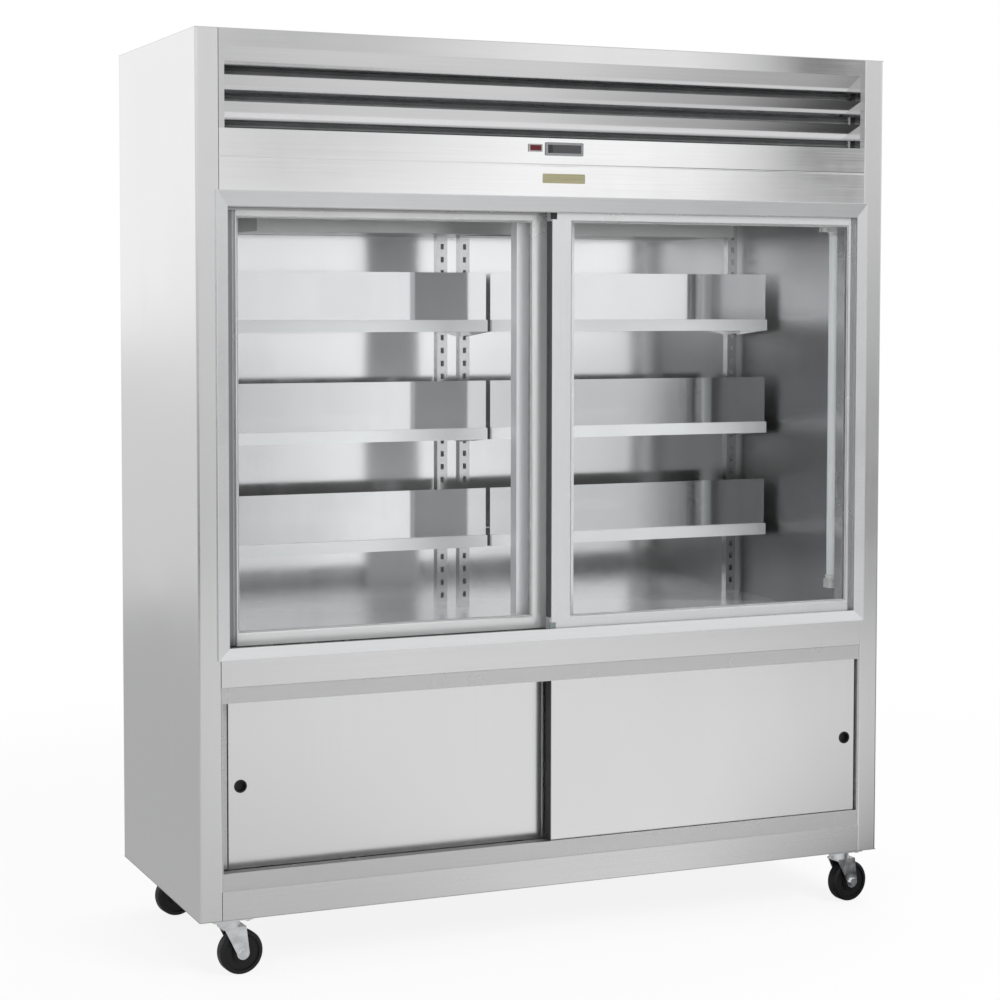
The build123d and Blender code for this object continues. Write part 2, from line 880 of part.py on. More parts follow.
# Shelf standards: channels on the back wall, open to the rear and slotted
# down their front web.
display_height_inside = ceiling_z - display_floor_z
standard_height = display_height_inside - standard_top_gap
standard_x = liner_x - corner_standard_inset
standard_y = liner_back_y - standard_depth / 2
rear_web_y = liner_back_y - standard_depth
front_web_y = front_y + track_back + liner
with BuildPart() as shelf_standards:
    for x in (-standard_x, extra_standard_x, centre_standard_x, standard_x):
        with BuildSketch(Plane.XY.offset(display_floor_z)):
            with Locations((x, standard_y)):
                Rectangle(standard_width, standard_depth)
            with Locations((x, standard_y + liner / 2)):
                Rectangle(
                    standard_width - 2 * liner,
                    standard_depth - liner,
                    mode=Mode.SUBTRACT,
                )
        extrude(amount=standard_height)
        with BuildSketch(Plane.XZ.offset(-rear_web_y)):
            with Locations((x, display_floor_z + standard_height / 2)):
                with GridLocations(0, standard_height / (standard_slots + 1), 1, standard_slots):
                    Rectangle(standard_slot_width, standard_slot_height)
        extrude(amount=-liner, mode=Mode.SUBTRACT)
save(shelf_standards.part, "shelf_standards")

# The broad post behind the meeting stiles of the glazed doors.
with BuildPart() as centre_post:
    with BuildSketch(Plane.XY.offset(display_floor_z)):
        with Locations((0, front_web_y + post_gap + post_depth / 2)):
            Rectangle(post_width, post_depth)
            Rectangle(post_width - 2 * skin, post_depth - 2 * skin, mode=Mode.SUBTRACT)
    extrude(amount=display_height_inside)
save(centre_post.part, "centre_post")


# Display shelves, three in each bay: a boxed front lip, a slotted deck and
# an upright fence, on two bracket arms.
def bay_span(side):
    inner = side * bay_centre_gap / 2
    outer = side * (liner_x - bay_side_gap)
    return (min(inner, outer), max(inner, outer))


def shelf(side, top):
    span = bay_span(side)
    length = span_length(span)
    middle = span_centre(span)
    lip_front_y = front_y + shelf_front
    fence_y = lip_front_y + shelf_lip_depth
    deck_rear_y = rear_web_y - shelf_rear_gap
    with BuildPart() as tier:
        with BuildSketch(Plane.XY.offset(top - shelf_lip_height)):
            with Locations((middle, lip_front_y + shelf_lip_depth / 2)):
                Rectangle(length, shelf_lip_depth)
        extrude(amount=shelf_lip_height)
        with BuildSketch(Plane.XY.offset(top - skin)):
            with Locations((middle, (fence_y + deck_rear_y) / 2)):
                Rectangle(length, deck_rear_y - fence_y)
                with GridLocations(length / (deck_slots + 1), 0, deck_slots, 1):
                    Rectangle(deck_slot_width, deck_slot_length, mode=Mode.SUBTRACT)
        extrude(amount=skin)
        with BuildSketch(Plane.XY.offset(top - skin)):
            with Locations((middle, fence_y - skin / 2)):
                Rectangle(length, skin)
        extrude(amount=shelf_fence + skin)
        for end in (span[0] + bracket_thickness / 2, span[1] - bracket_thickness / 2):
            with BuildSketch(Plane.YZ.offset(end - bracket_thickness / 2)):
                with BuildLine():
                    Polyline(
                        (fence_y, top - skin),
                        (rear_web_y, top - skin),
                        (rear_web_y, top - bracket_drop),
                        (fence_y, top - shelf_lip_height),
                        close=True,
                    )
                make_face()
            extrude(amount=bracket_thickness)
    return tier.part


tier_names = ("bottom", "middle", "top")
for tier_index in range(shelf_count):
    lift = shelf_top - (shelf_count - 1 - tier_index) * shelf_pitch
    tier_top = display_floor_z + lift
    save(shelf(-1, tier_top), "shelf_left_" + tier_names[tier_index])
    save(shelf(1, tier_top), "shelf_right_" + tier_names[tier_index])


# Lamps: a tube down each front corner between a capped holder and a socket.
lamp_x = liner_x - lamp_inset
lamp_y = front_web_y + lamp_back
lamp_low = display_floor_z + lamp_bottom
lamp_high = display_floor_z + lamp_top
with BuildPart() as lamp_holders:
    for side in (-1, 1):
        holder_y = front_web_y + holder_depth / 2
        with BuildSketch(Plane.XY.offset(lamp_high)):
            with Locations((side * (liner_x - holder_width / 2), holder_y)):
                RectangleRounded(holder_width, holder_depth, holder_depth / 3)
        extrude(amount=ceiling_z - lamp_high)
        with BuildSketch(Plane.XY.offset(lamp_low - socket_height)):
            with Locations((side * (liner_x - socket_width / 2), holder_y)):
                RectangleRounded(socket_width, holder_depth, holder_depth / 4)
        extrude(amount=socket_height)
save(lamp_holders.part, "lamp_holders")

with BuildPart() as lamp_tubes:
    with BuildSketch(Plane.XY.offset(lamp_low)):
        with Locations((-lamp_x, lamp_y), (lamp_x, lamp_y)):
            Circle(lamp_radius)
    extrude(amount=lamp_high - lamp_low)
save(lamp_tubes.part, "lamp_tubes")


# Evaporator under the display ceiling: a folded cover, open at the rear for
# the return air, a finned coil and a fan over a round mouth. The fan hangs
# on a motor from the ceiling.
cover_low = ceiling_z - cover_height
cover_rear_y = rear_web_y - cover_rear_gap
cover_front_y = cover_rear_y - cover_depth
fan_y = cover_front_y + evaporator_fan_radius + 4 * fan_clearance
fan_depth = 22
evaporator_fan_z = cover_low + fan_depth / 2 + 2 * fan_clearance
evaporator_motor_low = evaporator_fan_z + fan_depth / 2 + running_gap
with BuildPart() as evaporator_cover:
    with BuildSketch(Plane.XY.offset(cover_low)):
        with Locations((0, cover_front_y + cover_depth / 2)):
            Rectangle(cover_width, cover_depth)
    extrude(amount=cover_height)
    offset(
        amount=-cover_sheet,
        openings=[
            evaporator_cover.faces().sort_by(Axis.Z)[-1],
            evaporator_cover.faces().sort_by(Axis.Y)[-1],
        ],
    )
    with BuildSketch(Plane.XY.offset(cover_low)):
        with Locations((0, fan_y)):
            Circle(evaporator_fan_radius + fan_clearance)
    extrude(amount=cover_sheet, mode=Mode.SUBTRACT)
    with BuildSketch(Plane.XY.offset(evaporator_motor_low)):
        with Locations((0, fan_y)):
            Circle(fan_hub_radius)
    extrude(amount=ceiling_z - evaporator_motor_low)
save(evaporator_cover.part, "evaporator_cover")


def finned_coil(x, y, z, width, depth, height, fins, rows):
    """Plate fins threaded on horizontal tubes, centred on the given point."""
    with BuildPart() as coil:
        with BuildSketch(Plane.YZ.offset(x - width / 2)):
            with Locations((y, z)):
                Rectangle(depth, height)
        extrude(amount=coil_fin)
        for fin_index in range(1, fins):
            with BuildSketch(Plane.YZ.offset(x - width / 2 + fin_index * (width - coil_fin) / (fins - 1))):
                with Locations((y, z)):
                    Rectangle(depth, height)
            extrude(amount=coil_fin)
        with BuildSketch(Plane.YZ.offset(x - width / 2)):
            with Locations((y, z)):
                with GridLocations(0, height / rows, 1, rows):
                    Circle(coil_tube_radius)
        extrude(amount=width)
    return coil.part


evaporator_coil_y = cover_rear_y - coil_depth / 2 - fan_clearance
save(
    finned_coil(
        0,
        evaporator_coil_y,
        ceiling_z - coil_height / 2,
        coil_width,
        coil_depth,
        coil_height,
        coil_fins,
        3,
    ),
    "evaporator_coil",
)


# Fans: pitched blades on a hub, turning about the normal of their plane.
def fan_wheel(plane, radius, depth):
    with BuildPart() as wheel:
        with BuildSketch(plane.offset(-depth / 2)):
            Circle(fan_hub_radius)
        extrude(amount=depth)
        for blade in range(fan_blades):
            turn = radians(blade * 360 / fan_blades)
            radial = plane.x_dir * cos(turn) + plane.y_dir * sin(turn)
            tangent = plane.y_dir * cos(turn) - plane.x_dir * sin(turn)
            pitched = tangent + plane.z_dir * fan_blade_pitch
            root = Plane(origin=plane.origin, x_dir=pitched, z_dir=radial)
            with BuildSketch(root.offset(fan_hub_radius * 0.8)):
                Rectangle(fan_hub_radius * 1.3, fan_blade_thickness)
            with BuildSketch(root.offset(radius)):
                Rectangle(fan_hub_radius * 2, fan_blade_thickness)
            loft()
    return wheel.part


evaporator_fan_plane = Plane(origin=(0, fan_y, evaporator_fan_z), z_dir=(0, 0, 1))
save(fan_wheel(evaporator_fan_plane, evaporator_fan_radius, fan_depth), "evaporator_fan")

condenser_z = unit_deck_z + skin + condenser_height / 2
condenser_y = front_y + condenser_front + condenser_depth / 2
save(
    finned_coil(
        condenser_x,
        condenser_y,
        condenser_z,
        condenser_width,
        condenser_depth,
        condenser_height,
        condenser_fins,
        6,
    ),
    "condenser_coil",
)

condenser_fan_y = condenser_y + condenser_depth / 2 + shroud_depth / 2
condenser_fan_plane = Plane(
    origin=(condenser_x, condenser_fan_y, condenser_z),
    x_dir=(1, 0, 0),
    z_dir=(0, 1, 0),
)
save(fan_wheel(condenser_fan_plane, condenser_fan_radius, fan_depth), "condenser_fan")

# Unit deck: the tray over the ceiling foam, with the fan shroud and the
# fan's motor stand.
with BuildPart() as unit_deck:
    deck_front_y = front_y + track_back + 2
    deck_rear_y = rear_sheet_y
    with BuildSketch(Plane.XY.offset(unit_deck_z)):
        with Locations((0, (deck_front_y + deck_rear_y) / 2)):
            Rectangle(2 * foam_outer_x, deck_rear_y - deck_front_y)
    extrude(amount=skin)
    with BuildSketch(Plane.XZ.offset(-(condenser_y + condenser_depth / 2))):
        with Locations((condenser_x, condenser_z)):
            Rectangle(condenser_width, condenser_height)
            Rectangle(
                condenser_width - 2 * shroud_sheet,
                condenser_height - 2 * shroud_sheet,
                mode=Mode.SUBTRACT,
            )
    extrude(amount=-shroud_depth)
    shroud_rear_y = condenser_y + condenser_depth / 2 + shroud_depth
    with BuildSketch(Plane.XZ.offset(-shroud_rear_y)):
        with Locations((condenser_x, condenser_z)):
            Rectangle(condenser_width, condenser_height)
            Circle(condenser_fan_radius + fan_clearance, mode=Mode.SUBTRACT)
    extrude(amount=shroud_sheet)
    with BuildSketch(Plane.XZ.offset(-(condenser_fan_y + fan_depth / 2 + running_gap))):
        with Locations((condenser_x, condenser_z)):
            Circle(motor_radius)
    extrude(amount=-(motor_length))
    with BuildSketch(Plane.XY.offset(unit_deck_z + skin)):
        with Locations((condenser_x, shroud_rear_y + motor_radius / 2)):
            Rectangle(motor_radius, motor_radius / 2)
    extrude(amount=condenser_height / 2)
save(unit_deck.part, "unit_deck")

# Compressor: a welded shell on three feet, with its suction stub.
compressor_y = front_y + compressor_back
shell_round = compressor_radius / 2
foot_height = 20
with BuildPart() as compressor:
    with BuildSketch(Plane.XY.offset(unit_deck_z + skin + foot_height)):
        with Locations((compressor_x, compressor_y)):
            Circle(compressor_radius)
    extrude(amount=compressor_height)
    fillet(compressor.edges().group_by(Axis.Z)[-1], radius=shell_round)
    fillet(compressor.edges().group_by(Axis.Z)[0], radius=shell_round / 2)
    with BuildSketch(Plane.XY.offset(unit_deck_z + skin)):
        with Locations((compressor_x, compressor_y)):
            with PolarLocations(compressor_radius * 0.8, 3):
                Circle(foot_height)
    extrude(amount=foot_height + shell_round / 2)
save(compressor.part, "compressor")


# Casters. Each swivels about a vertical king pin under its plate, and its
# wheel turns on an axle set back from the pin.
casters = (
    ("front_left", -1, front_y + caster_front_inset, 4),
    ("front_right", 1, front_y + caster_front_inset, 6),
    ("rear_left", -1, back_y - caster_rear_inset, 8),
    ("rear_right", 1, back_y - caster_rear_inset, 12),
)
wheel_radius = wheel_diameter / 2
plate_low = base_z - caster_plate
fork_half_gap = hub_width / 2 + fork_side_gap
fork_top_z = wheel_diameter + fork_top_gap
race_low = fork_top_z + fork_crown
race_height = plate_low - race_gap - race_low


def king_pin_place(side, pin_y):
    return (side * (half_width - caster_side_inset), pin_y)


with BuildPart() as caster_plates:
    for _, side, pin_y, _ in casters:
        with BuildSketch(Plane.XY.offset(plate_low)):
            with Locations(king_pin_place(side, pin_y)):
                Rectangle(caster_plate_width, caster_plate_depth)
                with GridLocations(plate_hole_x, plate_hole_y, 2, 2):
                    Circle(plate_hole_radius, mode=Mode.SUBTRACT)
        extrude(amount=caster_plate)
        with BuildSketch(Plane.XY.offset(race_low + race_gap)):
            with Locations(king_pin_place(side, pin_y)):
                Circle(king_pin_radius)
        extrude(amount=plate_low - race_low)
save(caster_plates.part, "caster_plates")


def fork(side, pin_y, heading):
    pin_x, pin_y = king_pin_place(side, pin_y)
    level = Plane(
        origin=(pin_x, pin_y, 0),
        x_dir=(cos(radians(heading)), sin(radians(heading)), 0),
        z_dir=(0, 0, 1),
    )
    upright = Plane(
        origin=level.origin,
        x_dir=level.x_dir,
        z_dir=-level.y_dir,
    )
    outer_half = fork_half_gap + fork_plate
    with BuildPart() as body:
        with BuildSketch(level.offset(race_low)):
            Circle(swivel_radius)
        extrude(amount=race_height)
        with BuildSketch(level.offset(fork_top_z)):
            with Locations((swivel_offset / 4, 0)):
                RectangleRounded(2 * crown_half_length + swivel_offset / 2, 2 * outer_half, 4)
        extrude(amount=race_low - fork_top_z)
        for leg in (-outer_half, fork_half_gap):
            with BuildSketch(upright.offset(leg)):
                with BuildLine():
                    Polyline(
                        (-crown_half_length + 4, race_low),
                        (-crown_half_length + 4, fork_top_z),
                        (swivel_offset - fork_leg_width / 2, wheel_radius),
                    )
                    ThreePointArc(
                        (swivel_offset - fork_leg_width / 2, wheel_radius),
                        (swivel_offset, wheel_radius - fork_leg_width / 2),
                        (swivel_offset + fork_leg_width / 2, wheel_radius),
                    )
                    Polyline(
                        (swivel_offset + fork_leg_width / 2, wheel_radius),
                        (swivel_offset / 2 + crown_half_length, fork_top_z),
                        (swivel_offset / 2 + crown_half_length, race_low),
                        (-crown_half_length + 4, race_low),
                    )
                make_face()
            extrude(amount=fork_plate)
        with BuildSketch(level.offset(race_low)):
            Circle(king_pin_radius + king_pin_clearance)
        extrude(amount=race_height, mode=Mode.SUBTRACT)
        with BuildSketch(upright.offset(-outer_half)):
            with Locations((swivel_offset, wheel_radius)):
                Circle(axle_radius)
        extrude(amount=2 * outer_half)
        for start in (-outer_half - axle_head, outer_half):
            with BuildSketch(upright.offset(start)):
                with Locations((swivel_offset, wheel_radius)):
                    RegularPolygon(axle_head_radius, 6)
            extrude(amount=axle_head)
    return body.part


def wheel(side, pin_y, heading):
    pin_x, pin_y = king_pin_place(side, pin_y)
    along = Vector(cos(radians(heading)), sin(radians(heading)), 0)
    across = Vector(-sin(radians(heading)), cos(radians(heading)), 0)
    hub = Vector(pin_x, pin_y, wheel_radius) + along * swivel_offset
    section = Plane(origin=hub, x_dir=across, z_dir=-along)
    with BuildPart() as tyre:
        with BuildSketch(section):
            with Locations((0, (axle_radius + axle_clearance + wheel_radius) / 2)):
                Rectangle(wheel_width, wheel_radius - axle_radius - axle_clearance)
            with Locations((0, (axle_radius + axle_clearance + hub_radius) / 2)):
                Rectangle(hub_width, hub_radius - axle_radius - axle_clearance)
            for face in (-1, 1):
                with Locations((face * wheel_width / 2, (hub_radius + wheel_radius - tyre_round) / 2)):
                    Rectangle(8, wheel_radius - tyre_round - hub_radius - 6, mode=Mode.SUBTRACT)
        revolve(axis=Axis(hub, across))
        fillet(tyre.edges().filter_by(GeomType.CIRCLE).filter_by(
            lambda rim: rim.radius > wheel_radius - 0.1), radius=tyre_round)
    return tyre.part


for caster_name, side, pin_y, heading in casters:
    save(fork(side, pin_y, heading), "caster_fork_" + caster_name)
    save(wheel(side, pin_y, heading), "caster_wheel_" + caster_name)
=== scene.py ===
import math

import bmesh
import bpy
from mathutils import Matrix, Vector


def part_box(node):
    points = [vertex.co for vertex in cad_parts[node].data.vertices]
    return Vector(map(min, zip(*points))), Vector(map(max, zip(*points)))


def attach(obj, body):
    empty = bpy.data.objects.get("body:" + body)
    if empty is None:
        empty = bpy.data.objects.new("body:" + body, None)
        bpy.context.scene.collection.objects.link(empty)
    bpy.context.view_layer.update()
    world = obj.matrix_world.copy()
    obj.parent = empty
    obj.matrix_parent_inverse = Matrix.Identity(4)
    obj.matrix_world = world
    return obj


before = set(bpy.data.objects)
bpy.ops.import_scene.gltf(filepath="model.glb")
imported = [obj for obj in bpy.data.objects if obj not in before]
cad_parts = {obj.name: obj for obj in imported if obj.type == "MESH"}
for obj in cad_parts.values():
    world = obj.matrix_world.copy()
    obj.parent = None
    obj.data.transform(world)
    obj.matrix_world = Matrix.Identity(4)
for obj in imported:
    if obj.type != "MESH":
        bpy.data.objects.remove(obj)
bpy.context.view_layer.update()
MM = 0.001
SIDES = ("left", "right")

# Places taken from the frame
front_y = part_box("side_panel_left")[0].y
half_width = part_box("side_panel_right")[1].x
base_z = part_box("base_pan")[0].z

# The camera stands to the left of the cabinet and looks at it slightly down. Its
# places are in metres, its angles in radians and its lens in millimetres.
CAMERA_X = -2.263
CAMERA_BACK = 4.8963
CAMERA_Z = 1.5245
CAMERA_YAW = 0.416
CAMERA_PITCH = 0.055
CAMERA_ROLL = 0.002
CAMERA_LENS = 82.75
CAMERA_SHIFT = (-0.022, -0.075)


def make_camera():
    data = bpy.data.cameras.new("camera")
    data.lens = CAMERA_LENS
    data.sensor_width = 36
    data.shift_x, data.shift_y = CAMERA_SHIFT
    data.clip_end = 100
    camera = bpy.data.objects.new("camera", data)
    bpy.context.scene.collection.objects.link(camera)
    forward = Vector(
        (
            math.sin(CAMERA_YAW) * math.cos(CAMERA_PITCH),
            math.cos(CAMERA_YAW) * math.cos(CAMERA_PITCH),
            -math.sin(CAMERA_PITCH),
        )
    )
    aim = forward.to_track_quat("-Z", "Y").to_matrix().to_4x4()
    roll = Matrix.Rotation(CAMERA_ROLL, 4, "Z")
    place = Matrix.Translation((CAMERA_X, front_y - CAMERA_BACK, CAMERA_Z))
    camera.matrix_world = place @ aim @ roll
    bpy.context.scene.camera = camera


# Most of a noise pattern's values lie in this range
NOISE_SPAN = (0.3, 0.7)

# Grain direction as waves per metre along each axis
GRAIN_X = (3, 700, 700)
GRAIN_Z = (700, 700, 3)


class Nodes:
    """A node tree, with short ways to add nodes and to link them."""

    def __init__(self, tree):
        self.tree = tree

    def node(self, kind, **settings):
        made = self.tree.nodes.new(kind)
        for key, value in settings.items():
            setattr(made, key, value)
        return made

    def feed(self, socket, value):
        if isinstance(value, bpy.types.NodeSocket):
            self.tree.links.new(value, socket)
        else:
            socket.default_value = value

    def component(self, vector, axis):
        split = self.node("ShaderNodeSeparateXYZ")
        self.feed(split.inputs["Vector"], vector)
        return split.outputs[axis]

    def combine(self, operation, *values):
        made = self.node("ShaderNodeMath", operation=operation)
        for socket, value in zip(made.inputs, values):
            self.feed(socket, value)
        return made.outputs["Value"]

    def ramp(self, value, source, target=(0, 1), smooth=False):
        """Carry the source range over to the target range, and hold it past both ends."""
        ranged = self.node("ShaderNodeMapRange")
        if smooth:
            ranged.interpolation_type = "SMOOTHSTEP"
        self.feed(ranged.inputs["Value"], value)
        ranged.inputs["From Min"].default_value = source[0]
        ranged.inputs["From Max"].default_value = source[1]
        ranged.inputs["To Min"].default_value = target[0]
        ranged.inputs["To Max"].default_value = target[1]
        return ranged.outputs["Result"]

    def band(self, value, start, end, edge):
        """1 between start and end and 0 beyond them, with a ramp inside each end."""
        rise = self.ramp(value, (start, start + edge))
        fall = self.ramp(value, (end - edge, end), (1, 0))
        return self.combine("MULTIPLY", rise, fall)

    def mix(self, factor, first, second):
        """A colour between two others, each a socket or three numbers."""
        made = self.node("ShaderNodeMix", data_type="RGBA")
        self.feed(made.inputs["Factor"], factor)
        colors = [socket for socket in made.inputs if socket.type == "RGBA"]
        for socket, value in zip(colors, (first, second)):
            self.feed(socket, value if isinstance(value, bpy.types.NodeSocket) else (*value, 1))
        return [socket for socket in made.outputs if socket.type == "RGBA"][0]

    def blend(self, factor, first, second):
        """A shader between two others."""
        made = self.node("ShaderNodeMixShader")
        self.feed(made.inputs["Fac"], factor)
        self.feed(made.inputs[1], first)
        self.feed(made.inputs[2], second)
        return made.outputs["Shader"]

    def around(self, place, stops):
        """Grey tones laid out by the direction in which a point or a ray lies."""
        backwards = self.combine("MULTIPLY", self.component(place, "Y"), -1.0)
        angle = self.combine("ARCTAN2", self.component(place, "X"), backwards)
        ramp = self.node("ShaderNodeValToRGB")
        self.feed(ramp.inputs["Fac"], self.combine("MULTIPLY_ADD", angle, 1 / math.tau, 0.5))
        marks = ramp.color_ramp.elements
        while len(marks) < len(stops):
            marks.new(0.5)
        for mark, (degrees, value) in zip(marks, stops):
            mark.position = degrees / 360 + 0.5
            mark.color = (value, value, value, 1)
        return ramp.outputs["Color"]

    def seen_and_mirrored(self):
        """1 for what the camera sees, through panes too, and 1 for what metal mirrors."""
        path = self.node("ShaderNodeLightPath")
        seen = self.combine("MAXIMUM", path.outputs["Is Camera Ray"], path.outputs["Is Transmission Ray"])
        bounced = self.combine("MINIMUM", path.outputs["Glossy Depth"], 1.0)
        mirrored = self.combine("MAXIMUM", bounced, path.outputs["Is Glossy Ray"])
        return seen, mirrored


class Surface(Nodes):
    """One material: a Principled shader and the nodes that feed it."""

    def __init__(self, name, color, metallic=0.0, roughness=0.5, **settings):
        self.material = bpy.data.materials.new(name)
        self.material.use_nodes = True
        super().__init__(self.material.node_tree)
        self.shader = self.tree.nodes["Principled BSDF"]
        self.shader.inputs["Base Color"].default_value = (*color, 1)
        self.shader.inputs["Metallic"].default_value = metallic
        self.shader.inputs["Roughness"].default_value = roughness
        for key, value in settings.items():
            self.shader.inputs[key.replace("_", " ")].default_value = value
        self.color = color
        self.place = self.node("ShaderNodeTexCoord").outputs["Object"]

    def set(self, socket, value):
        self.feed(self.shader.inputs[socket], value)

    def show(self, shader):
        """Show this shader on the surface, in place of the plain Principled one."""
        self.feed(self.tree.nodes["Material Output"].inputs["Surface"], shader)

    def axis(self, name):
        return self.component(self.place, name)

    def noise(self, waves, detail=2.0, roughness=0.5, distortion=0.0):
        """Noise with so many waves per metre along each axis."""
        mapping = self.node("ShaderNodeMapping")
        self.feed(mapping.inputs["Vector"], self.place)
        mapping.inputs["Scale"].default_value = waves
        texture = self.node("ShaderNodeTexNoise")
        self.feed(texture.inputs["Vector"], mapping.outputs["Vector"])
        texture.inputs["Scale"].default_value = 1.0
        texture.inputs["Detail"].default_value = detail
        texture.inputs["Roughness"].default_value = roughness
        texture.inputs["Distortion"].default_value = distortion
        return texture.outputs["Fac"]

    def cells(self, scale, output):
        texture = self.node("ShaderNodeTexVoronoi")
        self.feed(texture.inputs["Vector"], self.place)
        texture.inputs["Scale"].default_value = scale
        return texture.outputs[output]

    def shaded(self, factor, low, high):
        """The base colour times low where the factor is 0, and times high where it is 1."""
        dark = [c * low for c in self.color]
        light = [min(1.0, c * high) for c in self.color]
        return self.mix(factor, dark, light)

    def bump(self, height, distance, strength, normal=None):
        made = self.node("ShaderNodeBump")
        made.inputs["Strength"].default_value = strength
        made.inputs["Distance"].default_value = distance
        self.feed(made.inputs["Height"], height)
        if normal is not None:
            self.feed(made.inputs["Normal"], normal)
        self.set("Normal", made.outputs["Normal"])
        return made.outputs["Normal"]


# Finishes
def coarser(grain, share):
    """The same grain with a share of the waves across it."""
    return [share * waves if waves > 10 else waves for waves in grain]


def brushed_steel(name, tone, grain=GRAIN_X, roughness=0.3, streak=0.025):
    """Sheet steel with fine brush lines, faint smears and slight oil-canning."""
    steel = Surface(name, (tone, tone, tone * 1.008), metallic=1.0, roughness=roughness)
    lines = steel.noise(grain, detail=3)
    broad = steel.noise(coarser(grain, 0.25), detail=2)
    smears = steel.noise((2.6, 2.6, 1.9), detail=4, roughness=0.6)
    steel.set("Base Color", steel.shaded(steel.ramp(broad, NOISE_SPAN), 1 - streak, 1 + streak))
    brushed = steel.ramp(lines, (0.25, 0.75), (roughness - 0.02, roughness + 0.03))
    smeared = steel.ramp(smears, (0.35, 0.7), (-0.02, 0.04))
    steel.set("Roughness", steel.combine("ADD", brushed, smeared))
    slow = steel.bump(steel.noise((1.4, 1.4, 1.1), detail=1), 3 * MM, 0.5)
    steel.bump(lines, 0.02 * MM, 0.4, normal=slow)
    return steel


def polished_steel(name, tone, roughness=0.07, metallic=1.0):
    """Bright liner sheet: a soft mirror with slow waves and wiping marks."""
    steel = Surface(name, (tone, tone * 1.003, tone * 1.012), metallic=metallic, roughness=roughness)
    wipes = steel.noise((7, 7, 2.2), detail=4, roughness=0.65, distortion=0.4)
    steel.set("Base Color", steel.shaded(steel.ramp(wipes, NOISE_SPAN), 0.96, 1.02))
    steel.set("Roughness", steel.ramp(wipes, (0.3, 0.75), (roughness - 0.02, roughness + 0.04)))
    steel.bump(steel.noise((2.2, 2.2, 1.7), detail=2), 3 * MM, 0.5)
    return steel


def drawn_aluminium(name, tone, grain, roughness=0.3, tint=(1.0, 1.0, 1.0), metallic=1.0):
    """Anodised extrusion with faint die lines."""
    metal = Surface(name, [tone * c for c in tint], metallic=metallic, roughness=roughness)
    lines = metal.noise(coarser(grain, 0.5), detail=2)
    dull = metal.noise((9, 9, 9), detail=3)
    metal.set("Base Color", metal.shaded(metal.ramp(lines, NOISE_SPAN), 0.98, 1.02))
    metal.set("Roughness", metal.ramp(dull, NOISE_SPAN, (roughness - 0.03, roughness + 0.04)))
    metal.bump(lines, 0.02 * MM, 0.15)
    return metal


def galvanised_sheet(name, tone):
    """Zinc-coated sheet with its crystal flakes."""
    sheet = Surface(name, (tone, tone * 1.01, tone * 1.02), metallic=0.9, roughness=0.45)
    flake = sheet.node("ShaderNodeRGBToBW")
    sheet.feed(flake.inputs["Color"], sheet.cells(70, "Color"))
    stain = sheet.noise((4, 4, 3), detail=4)
    sheet.set("Base Color", sheet.shaded(flake.outputs["Val"], 0.82, 1.1))
    sheet.set("Roughness", sheet.ramp(stain, NOISE_SPAN, (0.38, 0.55)))
    sheet.bump(sheet.cells(70, "Distance"), 0.1 * MM, 0.3)
    return sheet


def zinc_plate(name, tone):
    """Bright zinc plating, a little cloudy and bluish."""
    plate = Surface(name, (tone, tone * 1.015, tone * 1.04), metallic=1.0, roughness=0.3)
    clouds = plate.noise((45, 45, 45), detail=4)
    plate.set("Base Color", plate.shaded(plate.ramp(clouds, NOISE_SPAN), 0.85, 1.1))
    plate.set("Roughness", plate.ramp(clouds, NOISE_SPAN, (0.22, 0.42)))
    plate.bump(plate.noise((300, 300, 300), detail=2), 0.05 * MM, 0.4)
    return plate


def enamel(name, color, roughness):
    """Baked enamel with a faint orange peel."""
    paint = Surface(name, color, roughness=roughness, Coat_Weight=0.25, Coat_Roughness=0.12)
    cloud = paint.noise((6, 6, 6), detail=3)
    peel = paint.noise((420, 420, 420), detail=1)
    paint.set("Base Color", paint.shaded(paint.ramp(cloud, NOISE_SPAN), 0.96, 1.03))
    paint.set("Roughness", paint.ramp(cloud, NOISE_SPAN, (roughness - 0.04, roughness + 0.06)))
    paint.bump(peel, 0.06 * MM, 0.4)
    return paint


def plastic(name, color, roughness=0.45, grain=900, depth=0.05 * MM):
    """Moulded plastic with a fine etched grain."""
    resin = Surface(name, color, roughness=roughness, Specular_IOR_Level=0.35)
    etch = resin.noise((grain, grain, grain), detail=2)
    scuff = resin.noise((30, 30, 30), detail=3)
    resin.set("Base Color", resin.shaded(resin.ramp(scuff, NOISE_SPAN), 0.9, 1.12))
    resin.set("Roughness", resin.ramp(scuff, NOISE_SPAN, (roughness - 0.06, roughness + 0.08)))
    resin.bump(etch, depth, 0.5)
    return resin


def use(finish, *nodes):
    for name in nodes:
        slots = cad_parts[name].data.materials
        for index in range(len(slots)):
            slots[index] = finish.material


# Which finish each node has
def dress_shell():
    side = brushed_steel("side_steel", 0.84, grain=GRAIN_Z, roughness=0.22, streak=0.01)
    use(side, "side_panel_left", "side_panel_right")
    use(brushed_steel("lid_steel", 0.7), "top_panel")
    use(brushed_steel("control_steel", 0.95, roughness=0.10, streak=0.015), "control_panel")
    use(brushed_steel("rail_steel", 0.85, roughness=0.22, streak=0.015), "mid_rail")
    use(brushed_steel("skirt_steel", 0.78, roughness=0.25, streak=0.015), "toe_skirt")
    use(galvanised_sheet("galvanised", 0.5), "back_panel", "base_pan", "unit_deck")
    door = brushed_steel("door_steel", 0.9, grain=GRAIN_Z, roughness=0.2, streak=0.006)
    use(door, "lower_door_left_panel", "lower_door_right_panel")
    foam = plastic("foam", (0.78, 0.70, 0.50), roughness=0.9, grain=260, depth=0.6 * MM)
    use(foam, "foam_insulation")


